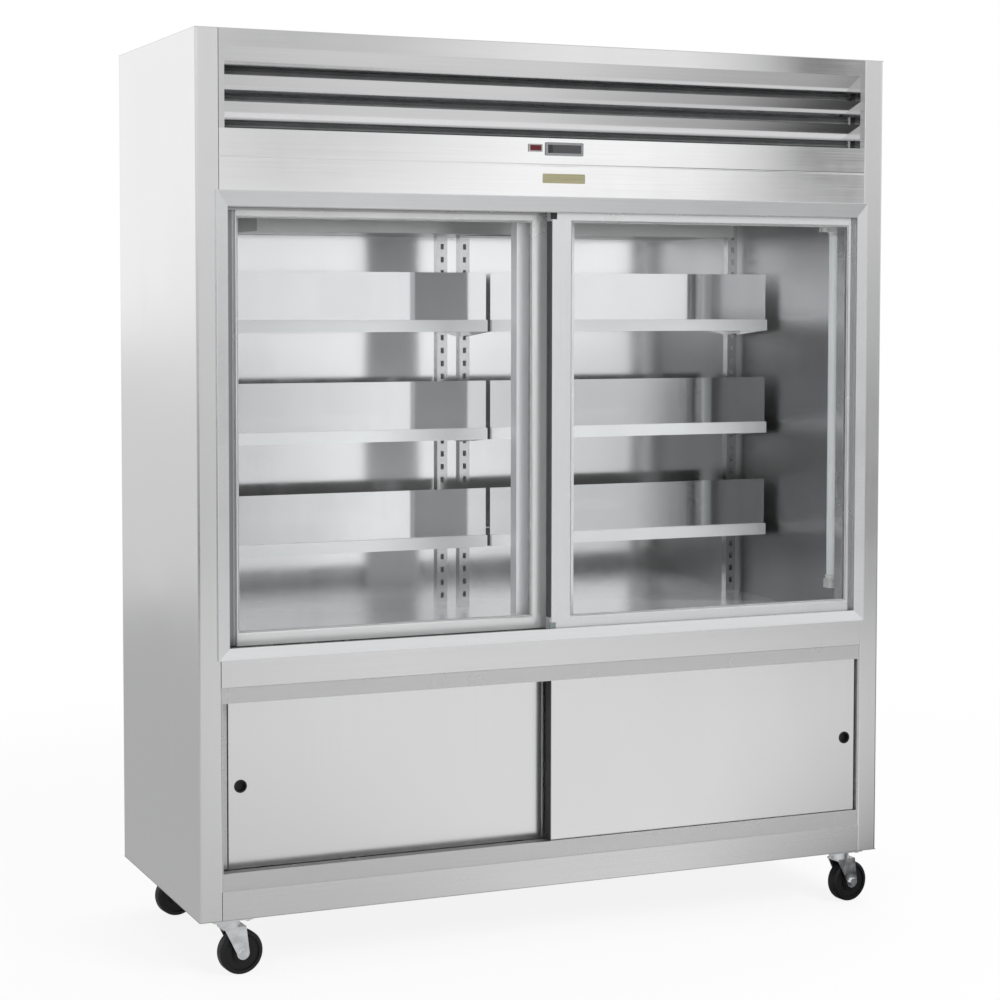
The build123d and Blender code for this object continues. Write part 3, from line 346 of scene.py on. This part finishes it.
def dress_louvre():
    """Brushed blades whose hems, set back by the blades' rake, are painted dark as shade in the recess.
    """
    blade_rake = 27 * MM
    hem_edge = 4 * MM
    blades = brushed_steel("louvre_steel", 0.78, roughness=0.10)
    hem_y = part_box("louvre_panel")[0].y + blade_rake
    hem = blades.ramp(blades.axis("Y"), (hem_y - hem_edge, hem_y))
    lines = blades.ramp(blades.noise((1, 175, 175)), NOISE_SPAN)
    bright = blades.shaded(lines, 0.985, 1.015)
    # Painted shade: the hems, back in the recess, get a darker copy of the blade colour
    painted_hem_shade = blades.shaded(lines, 0.42, 0.46)
    blades.set("Base Color", blades.mix(hem, bright, painted_hem_shade))
    use(blades, "louvre_panel")


def dress_frames():
    """Extrusions around the glazed doors; the left leaf's finger grip is painted dark as shade in the
    rear track.
    """
    cool = (0.98, 0.99, 1.0)
    use(drawn_aluminium("surround_aluminium", 0.9, GRAIN_X, tint=cool), "door_surround")
    track = drawn_aluminium("track_aluminium", 0.55, GRAIN_X, roughness=0.25, metallic=0.7)
    use(track, "upper_track_frame", "lower_track_frame")
    shaded_width = 19 * MM
    for side in SIDES:
        name = "upper_door_%s_frame" % side
        leaf = drawn_aluminium(
            "leaf_aluminium_" + side,
            0.71,
            GRAIN_Z,
            roughness=0.24,
            tint=cool,
            metallic=0.65,
        )
        if side == "left":
            # Painted shade: the strip along the left leaf's outer edge is coloured dark
            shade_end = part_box(name)[0].x + shaded_width
            unshaded = leaf.ramp(leaf.axis("X"), (shade_end - MM, shade_end))
            leaf.set("Base Color", leaf.mix(unshaded, (0.27, 0.275, 0.285), (0.79, 0.795, 0.80)))
        use(leaf, name)


def dress_inside():
    use(polished_steel("liner_steel", 0.84), "liner_left", "storage_floor")
    use(polished_steel("back_steel", 0.95, roughness=0.11), "liner_back")
    use(polished_steel("deck_steel", 0.88, roughness=0.22, metallic=0.6), "display_floor")
    use(polished_steel("standard_steel", 0.7, roughness=0.15), "shelf_standards")
    use(polished_steel("post_steel", 0.86, roughness=0.33, metallic=0.45), "centre_post")
    use(drawn_aluminium("cover_aluminium", 0.6, GRAIN_X), "evaporator_cover")
    fins = Surface("coil_fins", (0.6, 0.6, 0.57), metallic=0.9, roughness=0.4)
    dust = fins.noise((60, 60, 60), detail=4)
    fins.set("Base Color", fins.shaded(fins.ramp(dust, (0.35, 0.7)), 0.7, 1.05))
    fins.bump(fins.noise((20, 900, 900), detail=1), 0.1 * MM, 0.4)
    use(fins, "evaporator_coil", "condenser_coil", "condenser_fan")
    use(enamel("compressor_enamel", (0.02, 0.02, 0.022), 0.35), "compressor")
    use(plastic("fan_plastic", (0.12, 0.12, 0.125)), "evaporator_fan")


def dress_right_liner():
    """The right wall, painted with shade low down and painted light from the top shelf upwards."""
    bright_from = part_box("shelf_right_top")[0].z - 5 * MM
    bright_to = bright_from + 100 * MM
    wall = polished_steel("wall_steel", 0.34, roughness=0.34)
    above = wall.ramp(wall.axis("Z"), (bright_from, bright_to), smooth=True)
    wipes = wall.ramp(wall.noise((6, 6, 2), detail=3), NOISE_SPAN)
    # Painted shade and painted light: a dark copy of the steel below and a bright copy above
    dark = wall.shaded(wipes, 0.94, 1.04)
    bright = wall.shaded(wipes, 2.5, 2.6)
    wall.set("Base Color", wall.mix(above, dark, bright))
    use(wall, "liner_right")


def dress_lamps():
    """Frosted tubes with a metal cap at each end; the unlit tubes have a faint painted glow for the light
    on them.
    """
    use(lamp_white, "lamp_holders")
    low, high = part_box("lamp_tubes")
    cap = 10 * MM
    tube = Surface("lamp_tube", (0.62, 0.64, 0.65), roughness=0.25)
    frosted = tube.band(tube.axis("Z"), low.z + cap, high.z - cap, MM)
    mottle = tube.noise((50, 50, 12), detail=2)
    tube.set("Base Color", tube.mix(frosted, (0.5, 0.5, 0.5), tube.shaded(mottle, 0.96, 1.03)))
    tube.set("Metallic", tube.combine("SUBTRACT", 1.0, frosted))
    tube.shader.inputs["Emission Color"].default_value = (0.95, 1.0, 0.98, 1)
    # Painted light: a weak glow stands in for the light that falls on the unlit tube
    tube.set("Emission Strength", tube.combine("MULTIPLY", frosted, 0.16))
    use(tube, "lamp_tubes")


def dress_shelves():
    """White enamel on the boxed lip, bright steel on the deck and the guard."""
    guard_height = 118.5 * MM
    lip_depth = 12 * MM
    for side in SIDES:
        for tier in ("top", "middle", "bottom"):
            name = "shelf_%s_%s" % (side, tier)
            low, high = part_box(name)
            lip_back = low.y + lip_depth - 0.5 * MM
            guard_foot = high.z - guard_height
            shelf = Surface("finish_" + name, (0.86, 0.87, 0.86), roughness=0.3)
            lip = shelf.combine(
                "MULTIPLY",
                shelf.ramp(shelf.axis("Y"), (lip_back - 0.1 * MM, lip_back), (1, 0)),
                shelf.ramp(shelf.axis("Z"), (guard_foot, guard_foot + 0.2 * MM), (1, 0)),
            )
            wipes = shelf.noise((7, 7, 2.5), detail=4, roughness=0.6)
            steel = shelf.mix(shelf.ramp(wipes, NOISE_SPAN), (0.76, 0.77, 0.78), (0.82, 0.82, 0.83))
            paint = shelf.shaded(shelf.noise((5, 5, 5)), 0.97, 1.03)
            shelf.set("Base Color", shelf.mix(lip, steel, paint))
            shelf.set("Metallic", shelf.combine("SUBTRACT", 1.0, lip))
            steel_roughness = shelf.ramp(wipes, NOISE_SPAN, (0.04, 0.08))
            lip_roughness = shelf.combine("MULTIPLY", lip, 0.32)
            shelf.set("Roughness", shelf.combine("MAXIMUM", steel_roughness, lip_roughness))
            shelf.bump(shelf.noise((2.4, 2.4, 2.0), detail=1), 2 * MM, 0.5)
            use(shelf, name)


def dress_glass():
    """Clear panes that let lamp light through to what is behind them."""
    for side in SIDES:
        pane = Surface(
            "pane_" + side,
            (0.988, 0.992, 0.996),
            roughness=0.0,
            Transmission_Weight=1.0,
            IOR=1.45,
        )
        clear = pane.node("ShaderNodeBsdfTransparent")
        clear.inputs["Color"].default_value = (0.95, 0.957, 0.965, 1)
        path = pane.node("ShaderNodeLightPath")
        lit = pane.combine("MAXIMUM", path.outputs["Is Shadow Ray"], path.outputs["Is Diffuse Ray"])
        pane.show(pane.blend(lit, pane.shader.outputs["BSDF"], clear.outputs["BSDF"]))
        use(pane, "upper_door_%s_glass" % side)


def dress_door_fittings():
    """Pulls, seals and roller carriages; the seal strips are black beside the panes."""
    pane_gap = 2 * MM
    rubber = plastic("black_rubber_seal", (0.018, 0.018, 0.019), roughness=0.6)
    for side in SIDES:
        use(rubber, "lower_door_%s_gear" % side)
        use(plastic("pull_black_" + side, (0.012, 0.012, 0.013), 0.4), "lower_door_%s_pull" % side)
        low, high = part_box("upper_door_%s_glass" % side)
        strip = plastic("seal_strip_" + side, (0.055, 0.056, 0.06), roughness=0.5)
        beside_pane = strip.band(strip.axis("Z"), low.z + pane_gap, high.z - pane_gap, MM)
        scuffed = strip.shaded(strip.noise((30, 30, 30), detail=3), 0.9, 1.12)
        strip.set("Base Color", strip.mix(beside_pane, (0.4, 0.405, 0.41), scuffed))
        use(strip, "upper_door_%s_gear" % side)


def dress_display():
    """A grey case around a dark lens, whose left end is a little darker."""
    low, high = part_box("temperature_display")
    rim = 6 * MM
    edge = 0.2 * MM
    dark_end = low.x + 19 * MM
    case = Surface("display_face", (0.2, 0.205, 0.21), roughness=0.3)
    across = case.axis("X")
    up = case.axis("Z")
    window = case.combine(
        "MULTIPLY",
        case.band(across, low.x + rim - edge, high.x - rim + edge, edge),
        case.band(up, low.z + rim - edge, high.z - rim + edge, edge),
    )
    lens = case.mix(
        case.ramp(across, (dark_end - MM, dark_end)),
        (0.02, 0.02, 0.022),
        (0.05, 0.05, 0.055),
    )
    grain = case.noise((500, 500, 500), detail=1)
    case.set("Base Color", case.mix(window, case.shaded(grain, 0.9, 1.1), lens))
    case.set("Roughness", case.ramp(window, (0, 1), (0.42, 0.3)))
    case.bump(grain, 0.04 * MM, 0.4)
    use(case, "temperature_display")


def dress_controls():
    use(plastic("switch_grey", (0.30, 0.29, 0.29), 0.4), "switch_housing")
    use(plastic("rocker_red", (0.09, 0.012, 0.016), 0.3, grain=600), "switch_rocker")
    gold = Surface("plate_gold", (0.50, 0.47, 0.30), metallic=0.85, roughness=0.38)
    gold.set("Base Color", gold.shaded(gold.ramp(gold.noise((6, 500, 500)), NOISE_SPAN), 0.85, 1.1))
    gold.bump(gold.noise((8, 700, 700)), 0.04 * MM, 0.5)
    use(gold, "nameplate")


def dress_casters():
    use(zinc, "caster_plates")
    for name in ("front_left", "front_right", "rear_left", "rear_right"):
        use(zinc, "caster_fork_" + name)
        tyre = plastic("tyre_" + name, (0.006, 0.006, 0.007), roughness=0.5, grain=500, depth=0.1 * MM)
        use(tyre, "caster_wheel_" + name)


# Small pieces that the solids leave out
class Mesh:
    """Points and faces of one piece, gathered shape by shape."""

    def __init__(self):
        self.points = []
        self.faces = []

    def tube(self, rings, closed=False):
        """Join rings of equal length; ends are capped unless the tube is closed."""
        base = len(self.points)
        size = len(rings[0])
        for ring in rings:
            self.points.extend(ring)
        spans = len(rings) if closed else len(rings) - 1
        for index in range(spans):
            low = base + index * size
            high = base + (index + 1) % len(rings) * size
            for step in range(size):
                after = (step + 1) % size
                self.faces.append((low + step, low + after, high + after, high + step))
        if not closed:
            self.faces.append(tuple(range(base, base + size)))
            last = base + (len(rings) - 1) * size
            self.faces.append(tuple(range(last, last + size)))

    def turned(self, centre, axis, profile, sides):
        """A solid turned about an axis, from (distance along it, radius) pairs."""
        along = Vector(axis).normalized()
        across = along.orthogonal().normalized()
        other = along.cross(across)
        rings = []
        for distance, radius in profile:
            middle = Vector(centre) + along * distance
            rings.append(
                [
                    middle
                    + across * (radius * math.cos(math.tau * step / sides))
                    + other * (radius * math.sin(math.tau * step / sides))
                    for step in range(sides)
                ]
            )
        self.tube(rings)

    def framed(self, low, high, section):
        """A mitred frame round a rectangle in XZ, from (inset, Y) section points."""
        corners = (
            (low[0], low[1], 1, 1),
            (high[0], low[1], -1, 1),
            (high[0], high[1], -1, -1),
            (low[0], high[1], 1, -1),
        )
        rings = [
            [Vector((x + in_x * inset, y, z + in_z * inset)) for inset, y in section]
            for x, z, in_x, in_z in corners
        ]
        self.tube(rings, closed=True)

    def cushion(self, low, high, round_off):
        """A block with the edges of its front eased off."""
        eased = (
            (0, high.y),
            (0, low.y + round_off),
            (round_off * 0.3, low.y + round_off * 0.3),
            (round_off, low.y),
        )
        rings = [
            [
                Vector((low.x + inset, y, low.z + inset)),
                Vector((high.x - inset, y, low.z + inset)),
                Vector((high.x - inset, y, high.z - inset)),
                Vector((low.x + inset, y, high.z - inset)),
            ]
            for inset, y in eased
        ]
        self.tube(rings)

    def add(self, name, finish, body, slot):
        """Make the piece, with its faces turned outwards, and let it ride on a body."""
        mesh = bpy.data.meshes.new(name)
        mesh.from_pydata([tuple(point) for point in self.points], [], self.faces)
        shape = bmesh.new()
        shape.from_mesh(mesh)
        bmesh.ops.recalc_face_normals(shape, faces=shape.faces)
        shape.to_mesh(mesh)
        shape.free()
        piece = bpy.data.objects.new(name, mesh)
        bpy.context.scene.collection.objects.link(piece)
        mesh.materials.append(finish.material)
        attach(piece, body)


def glaze_doors():
    """A grey glazing bead round each pane, on both faces."""
    finish = plastic("glazing_bead", (0.42, 0.425, 0.43), roughness=0.45, grain=700)
    bite = 3 * MM
    profile = ((0, 0), (0, 1.2 * MM), (0.8 * MM, 2.0 * MM), (2.0 * MM, 1.6 * MM), (2.6 * MM, 0))
    for side in SIDES:
        low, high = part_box("upper_door_%s_glass" % side)
        bead = Mesh()
        for face_y, out in ((low.y, -1), (high.y, 1)):
            section = [(inset, face_y + out * proud) for inset, proud in profile]
            bead.framed((low.x + bite, low.z + bite), (high.x - bite, high.z - bite), section)
        bead.add("glazing_bead_" + side, finish, "upper_door_" + side, "black_plastic")


def cap_meeting_edge():
    """End caps of the meeting seal, on the front of the right door: black above, grey below."""
    low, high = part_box("upper_door_right_frame")
    overhang = 5 * MM
    proud = 3 * MM
    round_off = 1.2 * MM
    caps = (
        ("upper", (0.015, 0.018, 0.017), 11 * MM, high.z - 29 * MM, high.z - 12 * MM),
        ("lower", (0.16, 0.19, 0.175), 10.5 * MM, low.z, low.z + 17 * MM),
    )
    for place, color, reach, foot, crown in caps:
        cap = Mesh()
        cap.cushion(
            Vector((low.x - overhang, low.y - proud, foot)),
            Vector((low.x + reach, low.y, crown)),
            round_off,
        )
        finish = plastic("seal_cap_" + place, color, roughness=0.4)
        cap.add("meeting_seal_cap_" + place, finish, "upper_door_right", "black_plastic")


def screen_louvres():
    """A pleated dust screen behind the louvre blades."""
    foam = plastic("screen_foam", (0.25, 0.255, 0.26), roughness=0.9, grain=1500, depth=0.4 * MM)
    low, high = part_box("louvre_panel")
    half = high.x - 15 * MM
    ridge_y = low.y + 52 * MM
    valley_y = ridge_y + 5 * MM
    back_y = ridge_y + 8 * MM
    bottom = low.z + 3 * MM
    top = high.z - 4 * MM
    folds = 52
    profile = [
        (ridge_y if index % 2 else valley_y, bottom + (top - bottom) * index / folds)
        for index in range(folds + 1)
    ]
    profile += [(back_y, top), (back_y, bottom)]
    screen = Mesh()
    screen.tube([[Vector((x, y, z)) for y, z in profile] for x in (-half, half)])
    screen.add("dust_screen", foam, "cabinet", "black_plastic")


def screw_back_panel():
    """Pan-head screws down both edges and along the middle of the back."""
    low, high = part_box("back_panel")
    edge_inset = 40 * MM
    end_inset = 60 * MM
    rows = 9
    pitch = (high.z - low.z - 2 * end_inset) / (rows - 1)
    profile = ((0, 5.2 * MM), (0.5 * MM, 5.2 * MM), (1.1 * MM, 3.8 * MM), (1.4 * MM, 1.6 * MM))
    heads = Mesh()
    for x in (edge_inset - half_width, 0, half_width - edge_inset):
        for row in range(rows):
            heads.turned((x, high.y, low.z + end_inset + row * pitch), (0, 1, 0), profile, sides=16)
    heads.add("back_panel_screws", zinc, "cabinet", "zinc_steel")


def bolt_casters():
    """Flanged hexagon bolts under the caster plates."""
    low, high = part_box("caster_plates")
    plate_thickness = 5 * MM
    plate_half_depth = 35 * MM
    pin_inset = 80 * MM
    hole_x = 37 * MM
    hole_y = 24 * MM
    flange = ((0, 7.5 * MM), (0.9 * MM, 7.5 * MM), (1.2 * MM, 6.8 * MM))
    head = ((1.0 * MM, 6 * MM), (3.6 * MM, 6 * MM), (4.2 * MM, 5 * MM))
    bolts = Mesh()
    for pin_x in (pin_inset - half_width, half_width - pin_inset):
        for pin_y in (low.y + plate_half_depth, high.y - plate_half_depth):
            for x in (pin_x - hole_x, pin_x + hole_x):
                for y in (pin_y - hole_y, pin_y + hole_y):
                    centre = (x, y, base_z - plate_thickness)
                    bolts.turned(centre, (0, 0, -1), flange, sides=20)
                    bolts.turned(centre, (0, 0, -1), head, sides=6)
    bolts.add("caster_bolts", zinc, "cabinet", "zinc_steel")


def collar_lamps():
    """Ribbed collars where the tubes enter their holders."""
    low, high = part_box("lamp_tubes")
    tube_radius = 13 * MM
    middle_y = (low.y + high.y) / 2
    ribs = ((0, 3), (2, 3), (3, 1.5), (5, 1.5), (6, 2.5), (9, 2.5), (10, 0.4))
    profile = [(along * MM, tube_radius + proud * MM) for along, proud in ribs]
    collars = Mesh()
    for x in (low.x + tube_radius, high.x - tube_radius):
        for z, inwards in ((low.z, 1), (high.z, -1)):
            collars.turned((x, middle_y, z), (0, 0, inwards), profile, sides=28)
    collars.add("lamp_collars", lamp_white, "cabinet", "white_plastic")


# How bright the studio looks in the metal, by direction from the front towards the
# right, in degrees: its walls high up, at eye level and just under it, and its floor
WALLS_ABOVE = (
    (-180, 1.0), (-150, 1.0), (-120, 0.8), (-90, 0.75), (-60, 0.9), (-20, 0.95), (8, 0.9),
    (14, 0.92), (16.4, 0.6), (18, 0.53), (20, 0.64), (22, 0.8), (24.5, 1.0), (28.2, 1.0),
    (29.2, 0.9), (30.1, 0.62), (30.6, 0.2), (31.2, 0.06), (32.8, 0.05), (33.6, 0.9),
    (34.2, 1.0), (45, 1.0), (60, 0.8), (120, 0.8), (150, 1.0), (180, 1.0),
)
WALLS_LEVEL = (
    (-180, 1.0), (-150, 1.0), (-120, 0.8), (-90, 0.75), (-60, 0.9), (-20, 0.95), (8, 0.85),
    (13, 0.7), (16, 0.8), (18, 0.92), (21, 0.98), (24.5, 1.0), (27.6, 1.0), (28.4, 0.85),
    (29.4, 0.6), (30.4, 0.5), (32.4, 0.5), (34, 0.6), (60, 0.7), (120, 0.8), (150, 1.0),
    (180, 1.0),
)
WALLS_BELOW = (
    (-180, 0.68), (-150, 0.68), (-90, 0.45), (-60, 0.15), (0, 0.15), (12, 0.2), (14, 0.36),
    (16.5, 0.62), (18.2, 0.72), (19.6, 0.95), (21.5, 0.98), (23, 0.7), (25, 0.68),
    (27, 0.66), (27.8, 0.2), (28.3, 0.06), (31.2, 0.05), (32.2, 0.2), (33.5, 0.28),
    (60, 0.3), (120, 0.6), (180, 0.68),
)
FLOOR_TONES = (
    (-180, 0.45), (-100, 0.47), (-39, 0.56), (-9, 0.63), (0, 0.68), (9, 0.74), (24, 0.75),
    (36, 0.77), (42, 0.65), (48, 0.53), (54, 0.44), (57.5, 0.18), (60, 0.03), (67, 0.03),
    (74, 0.3), (85, 0.42), (110, 0.45), (180, 0.45),
)

# Where one wall tone gives way to the next, as the upward part of a ray's direction
EYE_LEVEL_FOOT = (-0.03, -0.012)
EYE_LEVEL_TOP = (0.032, 0.052)


# Studio: a pale floor, soft lamps and a world that is white to the camera
def floor_paint():
    """Matt paint that turns white towards the rim for the camera, with grey tones in the metal."""
    paint = Surface("floor_paint", (0.9, 0.9, 0.9), roughness=0.7)
    paint.set("Base Color", paint.shaded(paint.noise((0.6, 0.6, 0.6)), 0.99, 1.01))
    distance = paint.node("ShaderNodeVectorMath", operation="LENGTH")
    paint.feed(distance.inputs[0], paint.place)
    fade = paint.ramp(distance.outputs["Value"], (1.6, 3.6), (0.86, 1.0), smooth=True)
    seen, mirrored = paint.seen_and_mirrored()
    glow = paint.node("ShaderNodeEmission")
    tones = paint.around(paint.place, FLOOR_TONES)
    paint.feed(glow.inputs["Color"], paint.mix(mirrored, (1.0, 1.0, 1.0), tones))
    glowing = paint.combine("MAXIMUM", paint.combine("MULTIPLY", seen, fade), mirrored)
    paint.show(paint.blend(glowing, paint.shader.outputs["BSDF"], glow.outputs["Emission"]))
    return paint


def make_floor():
    """A round pale floor whose rim fades into the white behind it."""
    mesh = bpy.data.meshes.new("floor")
    reach = 6.5
    corners = 96
    turns = [math.tau * step / corners for step in range(corners)]
    rim = [(reach * math.cos(turn), reach * math.sin(turn), 0) for turn in turns]
    mesh.from_pydata(rim, [], [tuple(range(corners))])
    floor = bpy.data.objects.new("floor", mesh)
    bpy.context.scene.collection.objects.link(floor)
    mesh.materials.append(floor_paint().material)


def make_world():
    """White to the camera and through the panes, soft grey walls in the metal."""
    world = bpy.data.worlds.new("studio")
    bpy.context.scene.world = world
    world.use_nodes = True
    world.node_tree.nodes.clear()
    studio = Nodes(world.node_tree)
    direction = studio.node("ShaderNodeTexCoord").outputs["Generated"]
    upward = studio.component(direction, "Z")
    below = studio.around(direction, WALLS_BELOW)
    level = studio.around(direction, WALLS_LEVEL)
    above = studio.around(direction, WALLS_ABOVE)
    walls = studio.mix(studio.ramp(upward, EYE_LEVEL_FOOT, smooth=True), below, level)
    walls = studio.mix(studio.ramp(upward, EYE_LEVEL_TOP, smooth=True), walls, above)

    def background(color, strength):
        made = studio.node("ShaderNodeBackground")
        studio.feed(made.inputs["Color"], color)
        studio.feed(made.inputs["Strength"], strength)
        return made.outputs["Background"]

    white = (1, 1, 1, 1)
    seen, mirrored = studio.seen_and_mirrored()
    unmirrored = studio.blend(seen, background(white, 0.5), background(white, 1.0))
    output = studio.node("ShaderNodeOutputWorld")
    studio.feed(output.inputs["Surface"], studio.blend(mirrored, unmirrored, background(walls, 1.0)))


def soft_lamp(name, place, target, size, power):
    data = bpy.data.lights.new(name, "AREA")
    data.shape = "RECTANGLE"
    data.size, data.size_y = size
    data.energy = power
    lamp = bpy.data.objects.new(name, data)
    bpy.context.scene.collection.objects.link(lamp)
    aim = Vector(target) - Vector(place)
    lamp.matrix_world = Matrix.Translation(place) @ aim.to_track_quat("-Z", "Y").to_matrix().to_4x4()
    lamp.visible_glossy = False
    lamp.visible_transmission = False


def make_lamps():
    middle = (0, 0, 1.0)
    soft_lamp("key_lamp", (1.8, -5.2, 4.4), middle, (3, 3), 230)
    soft_lamp("fill_lamp", (-4.2, -3.6, 2.6), middle, (3, 2.5), 70)
    soft_lamp("top_lamp", (0.5, 1.0, 5.5), middle, (4, 3), 110)


lamp_white = plastic("lamp_plastic", (0.82, 0.82, 0.80), roughness=0.3)
zinc = zinc_plate("caster_zinc", 0.86)
make_camera()
dress_shell()
dress_louvre()
dress_frames()
dress_inside()
dress_right_liner()
dress_lamps()
dress_shelves()
dress_glass()
dress_door_fittings()
dress_display()
dress_controls()
dress_casters()
glaze_doors()
cap_meeting_edge()
screen_louvres()
screw_back_panel()
bolt_casters()
collar_lamps()
make_floor()
make_world()
make_lamps()
bpy.context.scene.view_settings.view_transform = "Standard"
